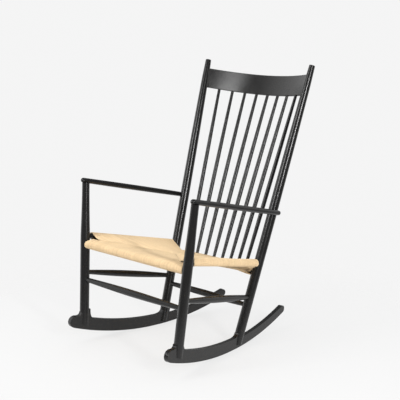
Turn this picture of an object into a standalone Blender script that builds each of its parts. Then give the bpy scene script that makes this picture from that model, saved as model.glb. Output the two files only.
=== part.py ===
"""Spindle back rocking chair with a woven paper cord seat, one object for each piece.

Metres, +Z up. The sitter faces -Y, so their left hand is at +X. While it is modelled, y = 0 lies
over the place where the rockers touch the floor. Last of all, the whole chair is moved so that
the origin is at the middle of its footprint.
"""

import math

import bmesh
import bpy
from mathutils import Matrix, Vector

# Fits
CLEARANCE = 0.0003          # gap left between pieces that touch
PAST_AXIS = 0.004           # how far a rod's end goes past the axis of the leg that it is let into
SOCKET_ROOM = 0.0005        # space left at the bottom of a socket

# Front legs: their axis at the floor and at the height of the head
LEG_FOOT = Vector((0.255, -0.333, 0.0))
LEG_HEAD = Vector((0.295, -0.276, 0.620))
LEG_RADIUS = 0.0183         # from the foot to the seat
LEG_NECK_RADIUS = 0.0143    # under the arm
LEG_TENON_RADIUS = 0.0060
LEG_TENON_LENGTH = 0.030

# Rear posts: their axis at the floor and at the top
POST_FOOT = Vector((0.206, 0.043, 0.0))
POST_HEAD = Vector((0.274, 0.382, 1.065))
POST_RADIUS = 0.0183        # from the foot to the arms
POST_CREST_RADIUS = 0.0140  # where the crest rail is let in
POST_TIP_RADIUS = 0.0115
POST_TIP_ROUNDING = 0.0015

# Feet: a leg is forked over its rocker, and its cheeks are cut off parallel to the tread
LEG_BLANK_HEIGHT = 0.050    # where the turned piece starts, before it is cut
POST_BLANK_HEIGHT = -0.004
LEG_CHEEK_MARGIN = 0.018    # from the tread to the ends of the cheeks
POST_CHEEK_MARGIN = 0.012

# Rockers: planks that stand on edge and are sawn to an arc
ROCKER_ARC_RADIUS = 1.137
ROCKER_FLAT = 0.060         # flat at the middle of the tread, on which the empty chair rests
ROCKER_THICKNESS = 0.018
ROCKER_NOSE_DEPTH = 0.0455
ROCKER_FRONT_DEPTH = 0.0488 # at the front leg
ROCKER_REAR_DEPTH = 0.0424  # ahead of the rear post
ROCKER_HEEL_DEPTH = 0.0348  # behind the rear post, where the plank is cut down
ROCKER_TAIL_DEPTH = 0.0294
ROCKER_FRONT_REACH = 0.382  # from the middle of the tread to the start of the round nose
ROCKER_REAR_REACH = 0.367
ROCKER_ROUNDING = 0.0025
LEG_JOINT_HEIGHT = 0.080    # where the leg's axis crosses the rocker's middle plane
POST_JOINT_HEIGHT = 0.025
LEG_EAR_LENGTHS = (0.028, 0.018)    # concave ears that rise ahead of the leg and behind it
LEG_EAR_HEIGHTS = (0.0225, 0.030)
POST_EAR_LENGTHS = (0.030, 0)       # none behind the post
POST_EAR_HEIGHTS = (0.020, 0.020)
EAR_LEDGE = 0.002           # how far the top of an ear stands out from the leg

# Seat rails and the heights at which their axes meet the legs
FRONT_RAIL_HEIGHT = 0.384
REAR_RAIL_HEIGHT = 0.284
REAR_RAIL_BOW = 0.020      # the rear rail is bowed as the crest rail is
SIDE_RAIL_FRONT_HEIGHT = 0.416
SIDE_RAIL_REAR_HEIGHT = 0.320
FRONT_RAIL_RADIUS = 0.0130
SIDE_RAIL_RADIUS = 0.0118
REAR_RAIL_RADIUS = 0.0108
RAIL_END_RADIUS = 0.0090
RAIL_TAPER = 0.020

# Woven seat: one layer of cord round the rails, two layers between them
CORD_THICKNESS = 0.0036
SEAT_MIDDLE_THICKNESS = 0.022
SEAT_DISH = 0.006
NEAREST_PULL = 0.002        # distance within which a rail alone sets the height of the cord
CORNER_GAP = 0.0012         # between the cord and the leg in each corner
FRONT_CORNER_ROOM = 0.010   # more room behind the front legs, where the sides' cord starts
NOTCH_REACH = 0.040         # how far the corner's opening goes beyond the rails' axes
PULL_POWER = 1.5            # how fast a rail's pull on the cord fades with distance

# Stretchers
FRONT_STRETCHER_HEIGHT = 0.246
REAR_STRETCHER_HEIGHT = 0.1595
SIDE_STRETCHER_FRONT_HEIGHT = 0.274
SIDE_STRETCHER_REAR_HEIGHT = 0.190
STRETCHER_END_RADIUS = 0.0088
STRETCHER_MIDDLE_RADIUS = 0.0132

# Crest rail: a board bowed away from the sitter
CREST_HEIGHT = 0.992        # of its middle, at the posts
CREST_DEPTH = 0.079
CREST_THICKNESS = 0.018
CREST_BOW = 0.0700
CREST_ROUNDING = 0.0025
CREST_TENON_DEPTH = 0.046
CREST_TENON_THICKNESS = 0.010

# Spindles
SPINDLE_COUNT = 8
SPINDLE_TOP_PITCH = 0.0584
SPINDLE_FOOT_PITCH = 0.0446
SPINDLE_END_RADIUS = 0.0057
SPINDLE_SWELL = 0.0025
SPINDLE_SWELL_POWER = 0.8   # under 1 puts the thickest place below the middle
SPINDLE_TENON = 0.014       # length let into the crest rail

# Arms and the dowels that pin them to the posts
ARM_FRONT_HEIGHT = 0.6275   # of its axis, over the leg
ARM_REAR_HEIGHT = 0.5135    # of its axis, beside the post
ARM_FRONT_OVERHANG = 0.0220
ARM_REAR_OVERHANG = 0.0090
ARM_END_RADIUS = 0.0094
ARM_MIDDLE_RADIUS = 0.0105
ARM_SADDLE = 0.0025         # how deep the arm sits in the head of the leg
DOWEL_RADIUS = 0.0045

# Facets
LEG_SIDES = 24
ROD_SIDES = 16
SPINDLE_SIDES = 12
ROCKER_STEPS = 10
ROUND_STEPS = 7
DOME_STEPS = 3
CREST_STEPS = 15
ROLL_STEPS = 4
SEAT_STEPS = 11
SWELL_STEPS = 8
WELD_DISTANCE = 0.00001
ROUNDED_ANGLE = math.radians(50)     # edges sharper than this are rounded
HALVINGS = 40               # of the span in which a meeting point is sought

LEFT, RIGHT = 1, -1
SIDE_NAMES = {LEFT: "left", RIGHT: "right"}
UP = Vector((0, 0, 1))

for leftover in list(bpy.data.objects):
    bpy.data.objects.remove(leftover, do_unlink=True)

parts = bpy.data.collections.new("spindle_back_rocking_chair")
cutters = bpy.data.collections.new("cutters")
bpy.context.scene.collection.children.link(parts)
bpy.context.scene.collection.children.link(cutters)
origin = bpy.data.objects.new("chair_origin", None)
parts.objects.link(origin)


def make_material(name, colour, roughness):
    material = bpy.data.materials.new(name)
    material.use_nodes = True
    shader = material.node_tree.nodes["Principled BSDF"]
    shader.inputs["Base Color"].default_value = (*colour, 1)
    shader.inputs["Roughness"].default_value = roughness
    shader.inputs["Metallic"].default_value = 0
    return material


black_lacquer = make_material("black_lacquered_wood", (0.012, 0.012, 0.012), 0.38)
paper_cord = make_material("paper_cord", (0.68, 0.47, 0.24), 0.75)


# Helpers

def place(obj, matrix, material=None):
    """Put an object in the chair: a part when it has a material, a cutter when it has none."""
    obj.matrix_world = matrix
    obj.parent = origin
    if material:
        obj.data.materials.append(material)
        parts.objects.link(obj)
    else:
        obj.hide_render = True
        obj.display_type = "WIRE"
        cutters.objects.link(obj)
    return obj


def mirrored(point, side):
    return Vector((point.x * side, point.y, point.z))


def spread(reach, steps):
    """Even places from -reach to reach."""
    return [reach * (2 * i / steps - 1) for i in range(steps + 1)]


def at_height(foot, head, height):
    return foot.lerp(head, (height - foot.z) / (head.z - foot.z))


def leg_at(side, height):
    return mirrored(at_height(LEG_FOOT, LEG_HEAD, height), side)


def post_at(side, height):
    return mirrored(at_height(POST_FOOT, POST_HEAD, height), side)


def frame_along(start, end):
    """A matrix at start with its Z axis towards end."""
    turn = (end - start).to_track_quat("Z", "X").to_matrix().to_4x4()
    return Matrix.Translation(start) @ turn


def turned(name, profile, start, end, sides, material=None):
    """A turned piece. The profile holds pairs of distance from the start and radius."""
    outline = [(0, 0, profile[-1][0])]
    outline += [(radius, 0, distance) for distance, radius in reversed(profile)]
    outline += [(0, 0, profile[0][0])]
    mesh = bpy.data.meshes.new(name)
    mesh.from_pydata(outline, [(i, i + 1) for i in range(len(outline) - 1)], [])
    obj = bpy.data.objects.new(name, mesh)
    screw = obj.modifiers.new("turning", "SCREW")
    screw.steps = sides
    screw.render_steps = sides
    screw.use_merge_vertices = True
    screw.merge_threshold = WELD_DISTANCE
    return place(obj, frame_along(start, end), material)


def as_mesh(name, curve):
    """A new mesh object in a curve's shape, closed and facing out."""
    guide = bpy.data.objects.new(name + "_guide", curve)
    cutters.objects.link(guide)
    graph = bpy.context.evaluated_depsgraph_get()
    mesh = bpy.data.meshes.new_from_object(guide.evaluated_get(graph))
    bpy.data.objects.remove(guide, do_unlink=True)
    sheet = bmesh.new()
    sheet.from_mesh(mesh)
    bmesh.ops.remove_doubles(sheet, verts=sheet.verts, dist=WELD_DISTANCE)
    bmesh.ops.recalc_face_normals(sheet, faces=sheet.faces)
    sheet.to_mesh(mesh)
    sheet.free()
    mesh.name = name
    return bpy.data.objects.new(name, mesh)


def sawn(name, outline, thickness, matrix, material=None, rounding=0):
    """A flat outline in the matrix's XY plane, extruded both ways along its Z."""
    curve = bpy.data.curves.new(name, "CURVE")
    curve.dimensions = "2D"
    curve.fill_mode = "BOTH"
    curve.extrude = thickness / 2
    spline = curve.splines.new("POLY")
    spline.points.add(len(outline) - 1)
    for point, (x, y) in zip(spline.points, outline):
        point.co = (x, y, 0, 1)
    spline.use_cyclic_u = True
    obj = as_mesh(name, curve)
    if rounding:
        bevel = obj.modifiers.new("rounded_edges", "BEVEL")
        bevel.width = rounding
        bevel.segments = 2
        bevel.limit_method = "ANGLE"
        bevel.angle_limit = ROUNDED_ANGLE
    return place(obj, matrix, material)


def bent(name, path, material=None):
    """A round rod along a bent path. The path holds pairs of point and radius."""
    curve = bpy.data.curves.new(name, "CURVE")
    curve.dimensions = "3D"
    curve.bevel_depth = 1
    curve.use_fill_caps = True
    spline = curve.splines.new("POLY")
    spline.points.add(len(path) - 1)
    for point, (middle, radius) in zip(spline.points, path):
        point.co = (*middle, 1)
        point.radius = radius
    obj = as_mesh(name, curve)
    obj.data.shade_smooth()
    return place(obj, Matrix(), material)


def combine(obj, other, operation):
    boolean = obj.modifiers.new(f"{operation.lower()}_{other.name}", "BOOLEAN")
    boolean.operation = operation
    boolean.object = other
    boolean.solver = "EXACT"


def drill(owner, bottom, mouth, radius, sides=ROD_SIDES):
    """A round socket in the owner, from its bottom to a mouth outside the owner."""
    length = (mouth - bottom).length
    name = f"socket_in_{owner.name}"
    combine(owner, turned(name, [(0, radius), (length, radius)], bottom, mouth, sides), "DIFFERENCE")


def let_in(rod_start, rod_end, start_owner, end_owner, radius, owner_radius):
    """Sockets for a rod whose axis runs from one leg's axis to another's."""
    along = (rod_end - rod_start).normalized()
    deep = along * (PAST_AXIS + SOCKET_ROOM)
    mouth = along * (2 * owner_radius)
    drill(start_owner, rod_start - deep, rod_start + mouth, radius + CLEARANCE)
    drill(end_owner, rod_end + deep, rod_end - mouth, radius + CLEARANCE)


def rod(name, start, end, profile_of, *sizes):
    """A turned rod between two axes, with its ends PAST_AXIS beyond them."""
    along = (end - start).normalized()
    tip, tail = start - along * PAST_AXIS, end + along * PAST_AXIS
    profile = profile_of((tail - tip).length, *sizes)
    return turned(name, profile, tip, tail, ROD_SIDES, black_lacquer)


# Legs and posts

def leg_profile():
    """Distances run along the axis from the foot's end."""
    length = (LEG_HEAD - LEG_FOOT).length
    per_height = length / (LEG_HEAD.z - LEG_FOOT.z)
    arm_underside = ARM_FRONT_HEIGHT - arm_radius(ARM_FRONT_OVERHANG)
    top = (arm_underside + ARM_SADDLE - LEG_BLANK_HEIGHT) * per_height
    seat = (SIDE_RAIL_FRONT_HEIGHT - LEG_BLANK_HEIGHT) * per_height
    profile = [(0, LEG_RADIUS), (seat, LEG_RADIUS)]
    for i in range(1, SWELL_STEPS // 2 + 1):
        share = i / (SWELL_STEPS // 2)
        fall = math.sin(share * math.pi / 2) * (LEG_RADIUS - LEG_NECK_RADIUS)
        profile.append((seat + share * (top - seat), LEG_RADIUS - fall))
    return profile


def post_profile(grow=0.0):
    per_height = (POST_HEAD - POST_FOOT).length / (POST_HEAD.z - POST_FOOT.z)
    heights = [
        (POST_BLANK_HEIGHT, POST_RADIUS),
        (ARM_REAR_HEIGHT, POST_RADIUS),
        ((ARM_REAR_HEIGHT + CREST_HEIGHT) / 2, (POST_RADIUS * 2 + POST_CREST_RADIUS) / 3),
        (CREST_HEIGHT, POST_CREST_RADIUS),
        (POST_HEAD.z - POST_TIP_ROUNDING, POST_TIP_RADIUS),
        (POST_HEAD.z, POST_TIP_RADIUS - POST_TIP_ROUNDING),
    ]
    return [((height - POST_BLANK_HEIGHT) * per_height, radius + grow) for height, radius in heights]


def front_leg(side):
    foot, head = leg_at(side, LEG_BLANK_HEIGHT), leg_at(side, LEG_HEAD.z)
    name = f"front_leg_{SIDE_NAMES[side]}"
    leg = turned(name, leg_profile(), foot, head, LEG_SIDES, black_lacquer)
    combine(leg, rocker_fork[side], "DIFFERENCE")
    combine(leg, cheek_cut(name, side, LEG_FOOT.y, LEG_CHEEK_MARGIN), "DIFFERENCE")
    combine(leg, arm_saddle[side], "DIFFERENCE")
    tenon_end = leg_at(side, ARM_FRONT_HEIGHT + CLEARANCE)
    tenon_start = tenon_end + (foot - head).normalized() * LEG_TENON_LENGTH
    tenon_profile = [(0, LEG_TENON_RADIUS), (LEG_TENON_LENGTH, LEG_TENON_RADIUS)]
    tenon = turned(f"tenon_of_{name}", tenon_profile, tenon_start, tenon_end, ROD_SIDES)
    combine(leg, tenon, "UNION")
    return leg


def rear_post(side):
    foot, head = post_at(side, POST_BLANK_HEIGHT), post_at(side, POST_HEAD.z)
    name = f"rear_post_{SIDE_NAMES[side]}"
    post = turned(name, post_profile(), foot, head, LEG_SIDES, black_lacquer)
    combine(post, rocker_fork[side], "DIFFERENCE")
    combine(post, cheek_cut(name, side, POST_FOOT.y, POST_CHEEK_MARGIN), "DIFFERENCE")
    combine(post, crest_mortise, "DIFFERENCE")
    return post


# Rockers

def rocker_frame(side):
    """The rocker's plane: X from the front leg towards the rear post, Y up, middle of the tread at 0."""
    front, rear = leg_at(side, LEG_JOINT_HEIGHT), post_at(side, POST_JOINT_HEIGHT)
    along = Vector((rear.x - front.x, rear.y - front.y, 0)).normalized()
    middle = front - along * (front.y / along.y)
    middle.z = 0
    turn = Matrix((along, UP, along.cross(UP))).transposed().to_4x4()
    return Matrix.Translation(middle) @ turn


def tread(distance):
    """A point of the rocker's lower edge and the direction from it towards the upper edge."""
    lift = math.sqrt(ROCKER_ARC_RADIUS**2 - (ROCKER_FLAT / 2) ** 2)
    rise = lift - math.sqrt(ROCKER_ARC_RADIUS**2 - distance**2)
    return Vector((distance, rise)), Vector((-distance, lift - rise)).normalized()


def rocker_depth(distance):
    """The plank's depth at a distance from the middle of the tread."""
    heel = POST_FOOT.y
    stations = [
        (-ROCKER_FRONT_REACH, ROCKER_NOSE_DEPTH),
        (LEG_FOOT.y, ROCKER_FRONT_DEPTH),
        (heel, ROCKER_REAR_DEPTH),
        (heel + POST_RADIUS, ROCKER_HEEL_DEPTH),
        (ROCKER_REAR_REACH, ROCKER_TAIL_DEPTH),
    ]
    for (start, start_depth), (end, end_depth) in zip(stations, stations[1:]):
        if distance <= end:
            break
    share = (distance - start) / (end - start)
    return start_depth + (end_depth - start_depth) * share


def upper_edge(distance, grow):
    point, inward = tread(distance)
    return point + inward * (rocker_depth(distance) + grow)


def rounded_end(distance, grow):
    """The half round end of the plank, from its lower edge to its upper edge."""
    lower, inward = tread(distance)
    half = rocker_depth(distance) / 2
    outward = Vector((inward.y, -inward.x)) * math.copysign(1, distance)
    middle = lower + inward * half
    angles = [math.pi * i / ROUND_STEPS for i in range(ROUND_STEPS + 1)]
    reach = half + grow
    return [middle + (outward * math.sin(a) - inward * math.cos(a)) * reach for a in angles]


def cheek_cut(leg_name, side, middle, margin):
    """A cutter for all of a leg that is nearer to the tread than the margin."""
    reach = 4 * LEG_RADIUS
    edge = []
    for distance in spread(reach, ROUND_STEPS):
        point, inward = tread(middle + distance)
        edge.append(point + inward * margin)
    below = [Vector((point.x, point.y - reach)) for point in reversed(edge)]
    outline = [(point.x, point.y) for point in edge + below]
    return sawn(f"cheek_cut_{leg_name}", outline, 2 * reach, rocker_frame(side))


def edge_under(origin_point, direction, grow):
    """Where a line in the rocker's plane meets the upper edge."""
    low, high = -ROCKER_FRONT_REACH, ROCKER_REAR_REACH
    for _ in range(HALVINGS):
        middle = (low + high) / 2
        edge = upper_edge(middle, grow)
        line_x = origin_point.x + direction.x * (edge.y - origin_point.y) / direction.y
        if edge.x < line_x:
            low = middle
        else:
            high = middle
    return (low + high) / 2


def ear(flank, direction, top_height, length, facing, grow):
    """A concave ear from the leg's flank to the upper edge. Facing is -1 ahead of the leg, 1 behind."""
    foot_at = edge_under(flank, direction, grow)
    foot = upper_edge(foot_at, grow)
    top = flank + direction * ((top_height - flank.y) / direction.y)
    end_at = foot_at + facing * length
    end = upper_edge(end_at, grow)
    if length == 0:
        return [top, foot], foot_at
    shares = [i / ROUND_STEPS for i in range(ROUND_STEPS + 1)]
    return [top * (1 - s) ** 2 + foot * (2 * s * (1 - s)) + end * s**2 for s in shares], end_at


def boss(axis_low, axis_high, half_width, heights, lengths, grow):
    """The raised place of the upper edge that a leg is forked over, from its rear to its front."""
    direction = (axis_high - axis_low).normalized()
    across = Vector((direction.y, -direction.x)) * (half_width + grow)
    edge_height = upper_edge(edge_under(axis_low, direction, grow), grow).y
    front_top, rear_top = (edge_height + height for height in heights)
    front_length, rear_length = lengths
    front, front_at = ear(axis_low - across, direction, front_top, front_length, -1, grow)
    rear, rear_at = ear(axis_low + across, direction, rear_top, rear_length, 1, grow)
    return list(reversed(rear)) + front, front_at, rear_at


def rocker_outline(side, grow=0.0):
    """The plank's outline, anticlockwise from the front of the tread."""
    to_plane = rocker_frame(side).inverted()
    leg_low, leg_high = (to_plane @ leg_at(side, h) for h in (0, LEG_HEAD.z))
    post_low, post_high = (to_plane @ post_at(side, h) for h in (0, LEG_HEAD.z))
    front_boss, _, leg_rear_at = boss(
        leg_low.xy, leg_high.xy, LEG_RADIUS + EAR_LEDGE, LEG_EAR_HEIGHTS, LEG_EAR_LENGTHS, grow,
    )
    rear_boss, post_front_at, post_rear_at = boss(
        post_low.xy, post_high.xy, POST_RADIUS, POST_EAR_HEIGHTS, POST_EAR_LENGTHS, grow,
    )

    def stretch(first, last, steps):
        return [first + (last - first) * i / steps for i in range(1, steps)]

    flat = ROCKER_FLAT / 2
    lower = stretch(-ROCKER_FRONT_REACH, -flat, ROCKER_STEPS) + [-flat, flat]
    lower += stretch(flat, ROCKER_REAR_REACH, ROCKER_STEPS)
    outline = [tread(distance)[0] for distance in lower]
    outline += rounded_end(ROCKER_REAR_REACH, grow)
    behind_post = stretch(ROCKER_REAR_REACH, post_rear_at, ROCKER_STEPS)
    between = stretch(post_front_at, leg_rear_at, ROCKER_STEPS)
    outline += [upper_edge(distance, grow) for distance in behind_post] + rear_boss
    outline += [upper_edge(distance, grow) for distance in between] + front_boss
    outline += reversed(rounded_end(-ROCKER_FRONT_REACH, grow))
    return [(point.x, point.y) for point in outline]


# Arms

def arm_line(side):
    """The arm's two ends. Its axis passes over the leg's and beside the post's."""
    over_leg = leg_at(side, ARM_FRONT_HEIGHT)
    beside_post = post_at(side, ARM_REAR_HEIGHT)
    beside_post.x += side * (POST_RADIUS + ARM_END_RADIUS + 2 * CLEARANCE)
    along = (beside_post - over_leg).normalized()
    return over_leg - along * ARM_FRONT_OVERHANG, beside_post + along * ARM_REAR_OVERHANG


def arm_length():
    start, end = arm_line(LEFT)
    return (end - start).length


def arm_radius(distance):
    """The arm swells between its ends."""
    swell = math.sin(math.pi * distance / arm_length())
    return ARM_END_RADIUS + (ARM_MIDDLE_RADIUS - ARM_END_RADIUS) * swell


def arm_profile(grow=0.0):
    """A rod with domed ends."""
    length = arm_length()
    angles = [math.pi / 2 * i / (DOME_STEPS + 1) for i in range(1, DOME_STEPS + 1)]
    dome = [(ARM_END_RADIUS * (1 - math.cos(a)), ARM_END_RADIUS * math.sin(a)) for a in angles]
    body_length = length - 2 * ARM_END_RADIUS
    body = [ARM_END_RADIUS + body_length * i / SWELL_STEPS for i in range(SWELL_STEPS + 1)]
    profile = dome + [(distance, arm_radius(distance)) for distance in body]
    profile += [(length - distance, radius) for distance, radius in reversed(dome)]
    return [(distance, radius + grow) for distance, radius in profile]


def arm(side):
    start, end = arm_line(side)
    piece = turned(f"arm_{SIDE_NAMES[side]}", arm_profile(), start, end, ROD_SIDES, black_lacquer)
    bottom = leg_at(side, ARM_FRONT_HEIGHT + CLEARANCE + SOCKET_ROOM)
    mouth = leg_at(side, ARM_FRONT_HEIGHT - 2 * ARM_MIDDLE_RADIUS)
    drill(piece, bottom, mouth, LEG_TENON_RADIUS + CLEARANCE)
    return piece


def arm_dowel(side, arm_piece, post):
    """A dowel across the arm's rear end and into the post, hidden in both."""
    inner = post_at(side, ARM_REAR_HEIGHT)
    out = Vector((side, 0, 0))
    outer = inner + out * (POST_RADIUS + ARM_END_RADIUS + 2 * CLEARANCE)
    start, end = inner - out * PAST_AXIS, outer + out * PAST_AXIS
    shape = [(0, DOWEL_RADIUS), ((end - start).length, DOWEL_RADIUS)]
    turned(f"arm_dowel_{SIDE_NAMES[side]}", shape, start, end, ROD_SIDES, black_lacquer)
    room = out * SOCKET_ROOM
    drill(post, start - room, outer, DOWEL_RADIUS + CLEARANCE)
    drill(arm_piece, end + room, inner, DOWEL_RADIUS + CLEARANCE)


# Crest rail and spindles

def crest_frame():
    """The rail's own frame: X across, Y away from the sitter, Z up along the leaning back."""
    middle = post_at(LEFT, CREST_HEIGHT)
    middle.x = 0
    lean = POST_HEAD - POST_FOOT
    lean.x = 0
    lean.normalize()
    across = Vector((1, 0, 0))
    turn = Matrix((across, lean.cross(across), lean)).transposed().to_4x4()
    return Matrix.Translation(middle) @ turn


def crest_bow(x):
    """How far the rail stands back from the posts' plane at x."""
    half_span = post_at(LEFT, CREST_HEIGHT).x
    return CREST_BOW * (1 - (x / half_span) ** 2)


def crest_band(reach, thickness):
    """A bowed strip's outline, seen from above."""
    xs = spread(reach, CREST_STEPS)
    front = [(x, crest_bow(x) - thickness / 2) for x in xs]
    back = [(x, crest_bow(x) + thickness / 2) for x in reversed(xs)]
    return front + back


def crest_rail():
    half_span = post_at(LEFT, CREST_HEIGHT).x
    outline = crest_band(half_span, CREST_THICKNESS)
    rail = sawn("crest_rail", outline, CREST_DEPTH, crest_frame(), black_lacquer, CREST_ROUNDING)
    for side in (LEFT, RIGHT):
        start, end = post_at(side, POST_BLANK_HEIGHT), post_at(side, POST_HEAD.z)
        name = f"crest_shoulder_{SIDE_NAMES[side]}"
        combine(rail, turned(name, post_profile(CLEARANCE), start, end, LEG_SIDES), "DIFFERENCE")
    outline = crest_band(half_span + PAST_AXIS, CREST_TENON_THICKNESS)
    combine(rail, sawn("crest_tenon", outline, CREST_TENON_DEPTH, crest_frame()), "UNION")
    return rail


def spindle_line(number):
    """From the axis of the rear seat rail to SPINDLE_TENON inside the crest rail."""
    place_across = number - (SPINDLE_COUNT - 1) / 2
    foot = rear_rail_point(place_across * SPINDLE_FOOT_PITCH)
    x = place_across * SPINDLE_TOP_PITCH
    head = crest_frame() @ Vector((x, crest_bow(x), SPINDLE_TENON - CREST_DEPTH / 2))
    return foot, head


def spindle_profile(length):
    """Thickest a little under the middle."""
    profile = []
    for i in range(SWELL_STEPS + 1):
        share = i / SWELL_STEPS
        swell = math.sin(math.pi * share**SPINDLE_SWELL_POWER)
        radius = SPINDLE_END_RADIUS + SPINDLE_SWELL * swell
        profile.append((share * length, radius))
    return profile


def spindle(number, rail, rear_rail, seat):
    foot, head = spindle_line(number)
    along = (head - foot).normalized()
    profile = spindle_profile((head - foot).length)
    turned(f"spindle_{number + 1}", profile, foot, head, SPINDLE_SIDES, black_lacquer)
    room = along * SOCKET_ROOM
    hole = SPINDLE_END_RADIUS + SPINDLE_SWELL / 5 + CLEARANCE
    drill(rail, head + room, head - along * (2 * SPINDLE_TENON), hole, SPINDLE_SIDES)
    drill(rear_rail, foot - room, foot + along * (2 * REAR_RAIL_RADIUS), hole, SPINDLE_SIDES)
    drill(seat, foot - room, foot + along * (3 * REAR_RAIL_RADIUS), hole, SPINDLE_SIDES)


# Seat rails, stretchers and the woven seat

def rail_profile(length, radius):
    """Even where the cord goes round it, thinner where it is let into the legs."""
    bare = LEG_RADIUS + PAST_AXIS
    return [
        (0, RAIL_END_RADIUS),
        (bare, RAIL_END_RADIUS),
        (bare + RAIL_TAPER, radius),
        (length - bare - RAIL_TAPER, radius),
        (length - bare, RAIL_END_RADIUS),
        (length, RAIL_END_RADIUS),
    ]


def stretcher_profile(length):
    """Even where it is let into the legs, swelling between them."""
    bare = LEG_RADIUS + PAST_AXIS
    profile = [(0, STRETCHER_END_RADIUS)]
    for i in range(SWELL_STEPS + 1):
        share = i / SWELL_STEPS
        swell = (STRETCHER_MIDDLE_RADIUS - STRETCHER_END_RADIUS) * math.sin(math.pi * share)
        profile.append((bare + share * (length - 2 * bare), STRETCHER_END_RADIUS + swell))
    return profile + [(length, STRETCHER_END_RADIUS)]


def rear_rail_point(x):
    """A point on the axis of the bowed rear rail."""
    end = post_at(LEFT, REAR_RAIL_HEIGHT)
    return Vector((x, end.y + REAR_RAIL_BOW * (1 - (x / end.x) ** 2), end.z))


def rear_rail(name, past_axis, end_radius, radius, material=None):
    """The bowed rail, or a cutter that follows it."""
    post_x = post_at(LEFT, REAR_RAIL_HEIGHT).x
    bare = post_x - POST_RADIUS
    even = bare - RAIL_TAPER
    ends = [post_x + past_axis, bare]
    xs = [-x for x in ends] + spread(even, SWELL_STEPS) + ends[::-1]
    path = [(rear_rail_point(x), radius if abs(x) < bare else end_radius) for x in xs]
    return bent(name, path, material)


def straight_rails():
    """The two ends of the axis and the radius of each straight seat rail, by name."""
    front = leg_at(RIGHT, FRONT_RAIL_HEIGHT), leg_at(LEFT, FRONT_RAIL_HEIGHT)
    rails = {"seat_front_rail": (*front, FRONT_RAIL_RADIUS)}
    for side in (LEFT, RIGHT):
        ends = leg_at(side, SIDE_RAIL_FRONT_HEIGHT), post_at(side, SIDE_RAIL_REAR_HEIGHT)
        rails[f"seat_side_rail_{SIDE_NAMES[side]}"] = (*ends, SIDE_RAIL_RADIUS)
    return rails


def seat_point(across, back, upper):
    """A point of the woven seat. Across and back run from 0 to 1 between the rolls' outer sides."""
    front_roll, side_roll, rear_roll = (
        radius + CORD_THICKNESS for radius in (FRONT_RAIL_RADIUS, SIDE_RAIL_RADIUS, REAR_RAIL_RADIUS)
    )
    front_y = leg_at(LEFT, FRONT_RAIL_HEIGHT).y
    side_front, side_rear, _ = straight_rails()["seat_side_rail_left"]
    sideways = 2 * across - 1
    rear_y = post_at(LEFT, REAR_RAIL_HEIGHT).y + REAR_RAIL_BOW * (1 - sideways**2)
    y = front_y - front_roll + back * (rear_y - front_y + front_roll + rear_roll)
    side_share = (y - side_front.y) / (side_rear.y - side_front.y)
    half_width = side_front.lerp(side_rear, side_share).x
    side_z = side_front.lerp(side_rear, min(max(side_share, 0), 1)).z
    x = sideways * (half_width + side_roll)
    pulls = [
        (y - front_y, FRONT_RAIL_HEIGHT, front_roll),
        (rear_y - y, REAR_RAIL_HEIGHT, rear_roll),
        (half_width - x, side_z, side_roll),
        (half_width + x, side_z, side_roll),
    ]
    weights = [max(distance, NEAREST_PULL) ** -PULL_POWER for distance, _, _ in pulls]
    z = sum(weight * height for weight, (_, height, _) in zip(weights, pulls)) / sum(weights)
    inside, _, roll = min(pulls)
    round_share = min(max(1 + inside / roll, 0), 1)
    half_thickness = roll * math.sqrt(1 - (1 - round_share) ** 2)
    middle_share = min(max(inside / (half_width / 2), 0), 1)
    half_thickness += (SEAT_MIDDLE_THICKNESS / 2 - roll) * math.sin(middle_share * math.pi / 2)
    z -= SEAT_DISH * middle_share**2
    return Vector((x, y, z + (half_thickness if upper else -half_thickness)))


def seat_shares(span, first_roll, last_roll):
    """Steps from one outer side to the other, close together round each roll."""
    turn = [1 - math.cos(math.pi / 2 * i / ROLL_STEPS) for i in range(ROLL_STEPS)]
    first, last = first_roll / span, last_roll / span
    flat = [first + (1 - first - last) * i / SEAT_STEPS for i in range(SEAT_STEPS + 1)]
    return [first * t for t in turn] + flat + [1 - last * t for t in reversed(turn)]


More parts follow.
